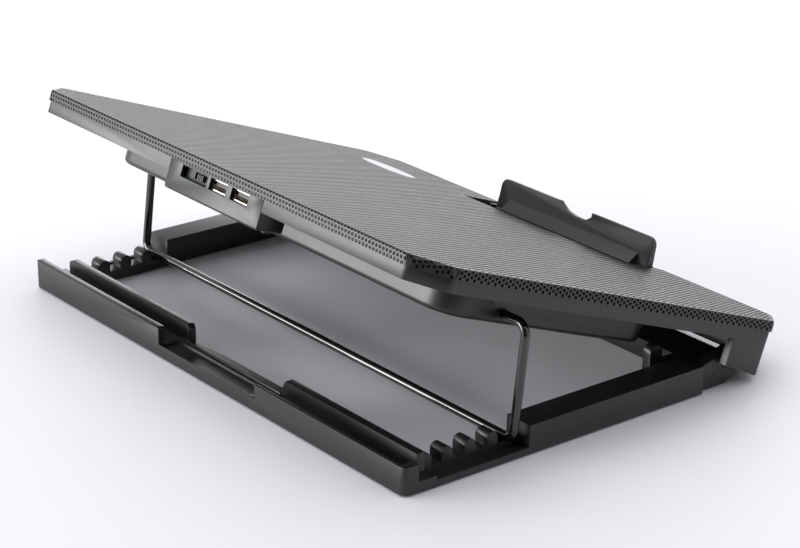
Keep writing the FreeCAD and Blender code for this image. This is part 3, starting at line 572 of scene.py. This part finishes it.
# %% Fold tree
def wrap_round_outline(tree, flat):
    """Bend a strip round the fold line: X is the way along it, Y the way out and down."""
    tree.interface.new_socket("Fold line", in_out="INPUT", socket_type="NodeSocketObject")
    tree.interface.new_socket("Bend radius", in_out="INPUT", socket_type="NodeSocketFloat")
    given = add(tree, "NodeGroupInput")
    line = add(tree, "GeometryNodeObjectInfo", links={"Object": (given, "Fold line")})
    path = add(tree, "GeometryNodeMeshToCurve", links={"Mesh": (line, "Geometry")})
    place = add(tree, "GeometryNodeInputPosition")
    parts = add(tree, "ShaderNodeSeparateXYZ", links={0: (place, "Position")})
    on_path = add(tree, "GeometryNodeSampleCurve", {"mode": "LENGTH"}, {
        "Curves": (path, "Curve"), "Length": (parts, "X")})
    turn = calc(tree, "DIVIDE", (parts, "Y"), (given, "Bend radius"))
    turn = calc(tree, "MINIMUM", turn, math.pi / 2)
    straight = calc(tree, "SUBTRACT", (parts, "Y"), calc(tree, "MULTIPLY", turn, (given, "Bend radius")))
    out = calc(tree, "MULTIPLY", calc(tree, "SINE", turn), (given, "Bend radius"))
    rounding = calc(tree, "SUBTRACT", calc(tree, "COSINE", turn), 1.0)
    rise = calc(tree, "SUBTRACT", calc(tree, "MULTIPLY", rounding, (given, "Bend radius")), straight)
    heading = add(tree, "ShaderNodeSeparateXYZ", links={0: (on_path, "Tangent")})
    out_x = calc(tree, "MULTIPLY", (heading, "Y"), out)
    out_y = calc(tree, "MULTIPLY", calc(tree, "MULTIPLY", (heading, "X"), -1.0), out)
    shift = add(tree, "ShaderNodeCombineXYZ", links={"X": out_x, "Y": out_y, "Z": rise})
    spot = add(tree, "ShaderNodeVectorMath", {"operation": "ADD"}, {
        0: (on_path, "Position"), 1: (shift, "Vector")})
    moved = add(tree, "GeometryNodeSetPosition", links={"Geometry": flat, "Position": (spot, "Vector")})
    flipped = add(tree, "GeometryNodeFlipFaces", links={"Mesh": (moved, "Geometry")})
    return (flipped, "Mesh")


FOLD = punching_tree("punch_and_fold", wrap_round_outline)

# %% Fold line
CORNER_STEPS = 12
octagon = rounded_octagon(BEND_RADIUS, CORNER_STEPS)
first_corner = CORNER_STEPS + 1
line_points = [(NOTCH_X1, FRONT_T), *octagon[first_corner:], *octagon[:first_corner],
               (NOTCH_X0, FRONT_T)]
line_mesh = bpy.data.meshes.new("fold_line")
line_edges = [(i, i + 1) for i in range(len(line_points) - 1)]
line_mesh.from_pydata([(x, y, 0) for x, y in line_points], line_edges, [])
fold_line = bpy.data.objects.new("fold_line", line_mesh)
bpy.context.collection.objects.link(fold_line)
lengths = [0.0]
for (ax, ay), (bx, by) in zip(line_points, line_points[1:]):
    lengths.append(lengths[-1] + math.hypot(bx - ax, by - ay))
print("fold line", round(lengths[-1], 4), "m")

# %% Punch and fold the edge
EDGE_TURNS = {"front_right": 0, "cut_front_right": 45, "right": 90, "cut_rear_right": 45, "rear": 0,
              "cut_rear_left": 45, "left": 90, "cut_front_left": 45, "front_left": 0}
corner_middles = [lengths[1 + corner * first_corner + CORNER_STEPS // 2] for corner in range(8)]
edge_ends = [0.0] + corner_middles + [lengths[-1]]
FIRST_ROW = HOLE_RADIUS + EDGE_MARGIN + 0.005 * MM
SIDE_ROW_SHIFT = 0.25 * MM
for number, (edge_name, turn_deg) in enumerate(EDGE_TURNS.items()):
    start, end = edge_ends[number:number + 2]
    count = math.ceil((end - start) / (PITCH / 3))
    xs = [start + (end - start) * i / count for i in range(count + 1)]
    loop = [(x, 0) for x in xs] + [(x, DEVELOPED) for x in reversed(xs)]
    columns = 2 * math.ceil((end - start) / PITCH / 2) if turn_deg < 90 else 6
    rows = 2 * math.ceil((end - start) / ROW / 4) if turn_deg > 0 else 6
    row_shift = SIDE_ROW_SHIFT if turn_deg else 0
    middle = (round((start + end) / 2 / PITCH) * PITCH, FIRST_ROW + row_shift, 0)
    strip = punched("sheet_edge_" + edge_name, FOLD, [loop], {
        "Columns": columns, "Rows": rows, "Middle": middle, "Turn": (0, 0, math.radians(turn_deg)),
        "Fold line": fold_line, "Bend radius": BEND_RADIUS})
    strip.data.transform(PANEL)
    sheet_pieces.append(strip)
bpy.data.objects.remove(fold_line)

for piece in sheet_pieces:
    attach(piece, "panel")
    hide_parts("top_sheet")

# %% [markdown]
# ## Finishes of the carried-over pieces
# Pins, screws, fans, feet and the wire keep their CAD shape. Their material goes on their own
# slots.

# %% Materials for CAD nodes
CAD_FINISH = {
    "prop_wire": WIRE_ENAMEL, "badge": BADGE_METAL, "circuit_board": BOARD_MASK,
    "usb_socket_1": NICKEL, "usb_socket_2": NICKEL, "usb_tongue_1": TONGUE, "usb_tongue_2": TONGUE,
    "switch_body": SWITCH_ABS, "switch_knob": SWITCH_ABS,
    "fan_frame_left": FAN_ABS, "fan_frame_right": FAN_ABS,
    "fan_rotor_left": FAN_ABS, "fan_rotor_right": FAN_ABS,
    "hinge_pin_left": PIN_STEEL, "hinge_pin_right": PIN_STEEL, "stop_pin_left": PIN_STEEL,
    "stop_pin_right": PIN_STEEL, "prop_bush_left": SWITCH_ABS, "prop_bush_right": SWITCH_ABS,
    "belly_screws": SCREW_ZINC, "fan_screws": SCREW_ZINC, "board_screws": SCREW_ZINC,
    "rubber_foot_1": RUBBER, "rubber_foot_2": RUBBER, "rubber_foot_3": RUBBER, "rubber_foot_4": RUBBER,
    "base_frame": BASE_ABS, "panel_shell": SHELL_ABS, "belly_pan": SHELL_ABS, "port_housing": SHELL_ABS,
    "stop_flap": STOP_ABS, "top_sheet": SHEET_COAT,
}
for node_name, material in CAD_FINISH.items():
    give(NODES[node_name], material)
print("CAD nodes finished:", len(CAD_FINISH), "of", len(NODES))

# %% [markdown]
# ## Floor, light and camera
# The pad stands on a pale seamless floor. A large soft box behind it lights the ports, a weaker
# one overhead fills the top, and the near side stays dark, as a product on white is lit.

# %% Stage
FLOOR = 12.0


def card(name, corners, material_name, colour, roughness):
    """One flat sheet of the studio: its floor or a flag."""
    mesh = bpy.data.meshes.new(name)
    mesh.from_pydata(corners, [], [(0, 1, 2, 3)])
    piece = bpy.data.objects.new(name, mesh)
    bpy.context.collection.objects.link(piece)
    finish, _, shader, _ = new_material(material_name)
    shader.inputs["Base Color"].default_value = srgb(colour)
    shader.inputs["Roughness"].default_value = roughness
    give(piece, finish)
    return piece


floor_corners = [(-FLOOR, -FLOOR, 0), (FLOOR, -FLOOR, 0), (FLOOR, FLOOR, 0), (-FLOOR, FLOOR, 0)]
card("floor", floor_corners, "pale_floor", "#F4F3F8", 0.6)

world = bpy.data.worlds.new("studio")
bpy.context.scene.world = world
world.use_nodes = True
world.node_tree.nodes["Background"].inputs["Color"].default_value = srgb("#FBFBFF")
world.node_tree.nodes["Background"].inputs["Strength"].default_value = 0.85


def soft_box(name, place, aim, size, watts):
    data = bpy.data.lights.new(name, "AREA")
    data.shape = "RECTANGLE"
    data.size, data.size_y = size
    data.energy = watts
    lamp = bpy.data.objects.new(name, data)
    lamp.location = place
    lamp.rotation_euler = (Vector(aim) - Vector(place)).to_track_quat("-Z", "Y").to_euler()
    bpy.context.collection.objects.link(lamp)


soft_box("side_box", (1.5, 2.4, 0.5), (0.0, 0.1, 0.03), (2.2, 0.9), 73)
soft_box("front_box", (2.0, -1.9, 0.5), (0, 0, 0.08), (2.4, 0.9), 19)
soft_box("top_box", (0.3, -0.3, 2.2), (0, 0, 0), (1.8, 1.4), 10)

# A black flag stands behind the camera. Glossy faces turned to the camera mirror it and go dark,
# which is what draws the cut corner and the bends of the wire.
FLAG_HALF = 1.3
FLAG_HEIGHT = 2.0
FLAG_PLACE = (-1.75, 1.3, 0.02)
FLAG_TURN = math.radians(50)
flag_corners = [(-FLAG_HALF, 0, 0), (FLAG_HALF, 0, 0),
                (FLAG_HALF, 0, FLAG_HEIGHT), (-FLAG_HALF, 0, FLAG_HEIGHT)]
flag = card("flag", flag_corners, "black_flag", "#0A0A0A", 0.9)
flag.matrix_world = Matrix.Translation(FLAG_PLACE) @ Matrix.Rotation(FLAG_TURN, 4, "Z")
flag.visible_camera = False

# %% Camera
CAMERA_AZIMUTH = math.radians(231.37)
CAMERA_ELEVATION = math.radians(21.46)
CAMERA_ROLL = math.radians(0.62)
CAMERA_AIM = Vector((0.06275, -0.05248, 0.0))
CAMERA_DISTANCE = 1.4869
LENS_MM = 109.0
back = Vector((math.sin(CAMERA_AZIMUTH) * math.cos(CAMERA_ELEVATION),
               -math.cos(CAMERA_AZIMUTH) * math.cos(CAMERA_ELEVATION), math.sin(CAMERA_ELEVATION)))
camera_data = bpy.data.cameras.new("camera")
camera_data.lens = LENS_MM
camera_data.sensor_width = 36.0
camera = bpy.data.objects.new("camera", camera_data)
camera.rotation_mode = "QUATERNION"
camera.location = CAMERA_AIM + back * CAMERA_DISTANCE
roll = Matrix.Rotation(CAMERA_ROLL, 3, "Z").to_quaternion()
camera.rotation_quaternion = (-back).to_track_quat("-Z", "Y") @ roll
bpy.context.collection.objects.link(camera)
bpy.context.scene.camera = camera
bpy.context.scene.view_settings.view_transform = "Standard"
